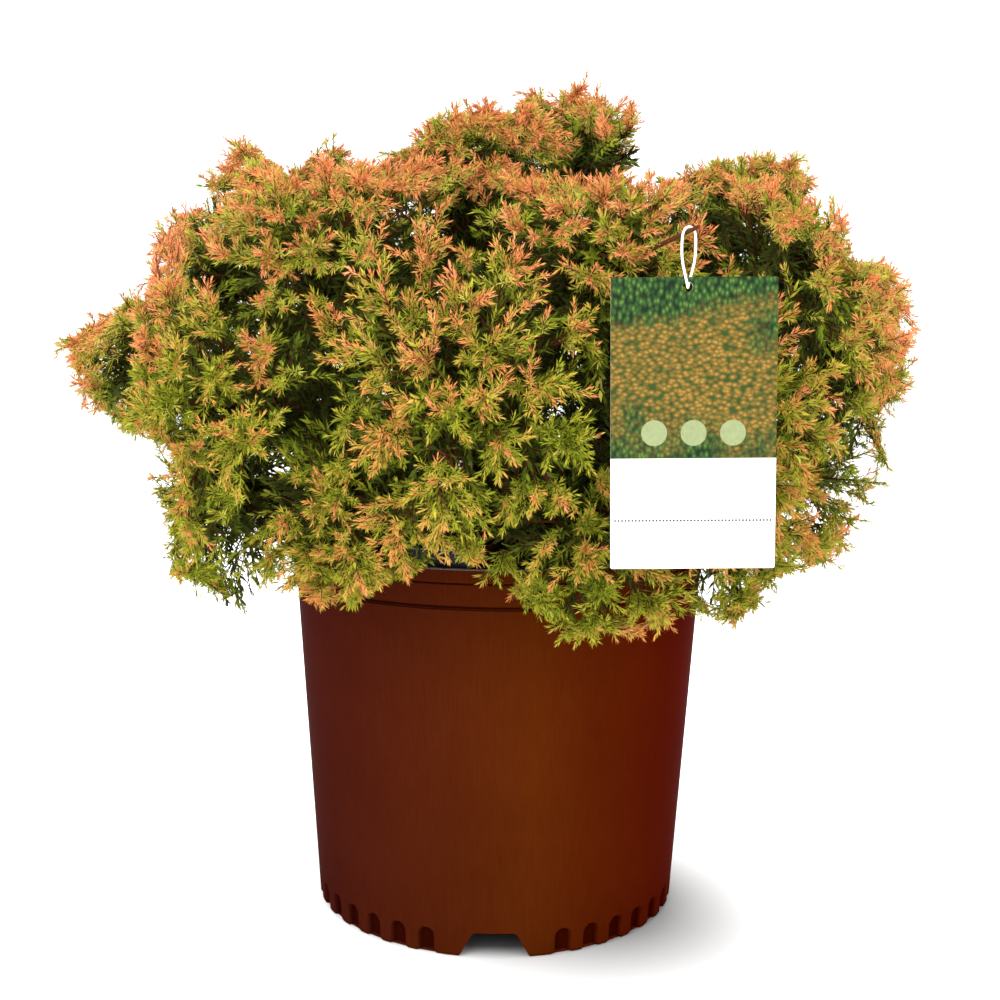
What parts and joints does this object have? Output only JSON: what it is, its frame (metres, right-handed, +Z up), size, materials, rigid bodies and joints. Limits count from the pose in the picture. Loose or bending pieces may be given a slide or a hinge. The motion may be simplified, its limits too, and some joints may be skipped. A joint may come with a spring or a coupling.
{
  "type": "potted arborvitae",
  "caption": "Globe arborvitae shrub with feathery lime foliage and coral tips, growing in a tapered brown nursery pot, with a plain hang tag on a twig.",
  "frame": {"origin": "centre of the pot's flat underside", "axes": "+Z up along the pot's axis, -Y towards the front where the tag hangs, +X to the right seen from the front"},
  "size_m": [0.5174, 0.4486, 0.4868],
  "materials": {
    "pot_plastic": "matte",
    "potting_mix": "rough",
    "label_plastic": "satin",
    "bark": "rough",
    "foliage_low": "matte",
    "foliage_middle": "matte",
    "foliage_upper": "matte",
    "foliage_top": "matte",
    "tag_card": "satin",
    "tag_elastic": "matte"
  },
  "bodies": {
    "root": {"pot": "pot_plastic", "soil": "potting_mix", "rim_label": "label_plastic", "trunk": "bark", "bough_low_1": "bark", "bough_low_2": "bark", "bough_low_3": "bark", "bough_low_4": "bark", "bough_low_5": "bark", "bough_low_6": "bark", "bough_low_7": "bark", "bough_middle_1": "bark", "bough_middle_2": "bark", "bough_middle_3": "bark", "bough_middle_4": "bark", "bough_middle_5": "bark", "bough_middle_6": "bark", "bough_middle_7": "bark", "bough_middle_8": "bark", "bough_upper_1": "bark", "bough_upper_2": "bark", "bough_upper_3": "bark", "bough_upper_4": "bark", "bough_upper_5": "bark", "bough_upper_6": "bark", "bough_upper_7": "bark", "bough_top_1": "bark", "bough_top_2": "bark", "bough_top_3": "bark", "bough_top_4": "bark", "bough_top_5": "bark", "foliage_low_1": "foliage_low", "foliage_low_2": "foliage_low", "foliage_low_3": "foliage_low", "foliage_low_4": "foliage_low", "foliage_low_5": "foliage_low", "foliage_low_6": "foliage_low", "foliage_low_7": "foliage_low", "foliage_middle_1": "foliage_middle", "foliage_middle_2": "foliage_middle", "foliage_middle_3": "foliage_middle", "foliage_middle_4": "foliage_middle", "foliage_middle_5": "foliage_middle", "foliage_middle_6": "foliage_middle", "foliage_middle_7": "foliage_middle", "foliage_middle_8": "foliage_middle", "foliage_upper_1": "foliage_upper", "foliage_upper_2": "foliage_upper", "foliage_upper_3": "foliage_upper", "foliage_upper_4": "foliage_upper", "foliage_upper_5": "foliage_upper", "foliage_upper_6": "foliage_upper", "foliage_upper_7": "foliage_upper", "foliage_top_1": "foliage_top", "foliage_top_2": "foliage_top", "foliage_top_3": "foliage_top", "foliage_top_4": "foliage_top", "foliage_top_5": "foliage_top", "tag": "tag_card", "tag_loop": "tag_elastic"}
  },
  "joints": []
}
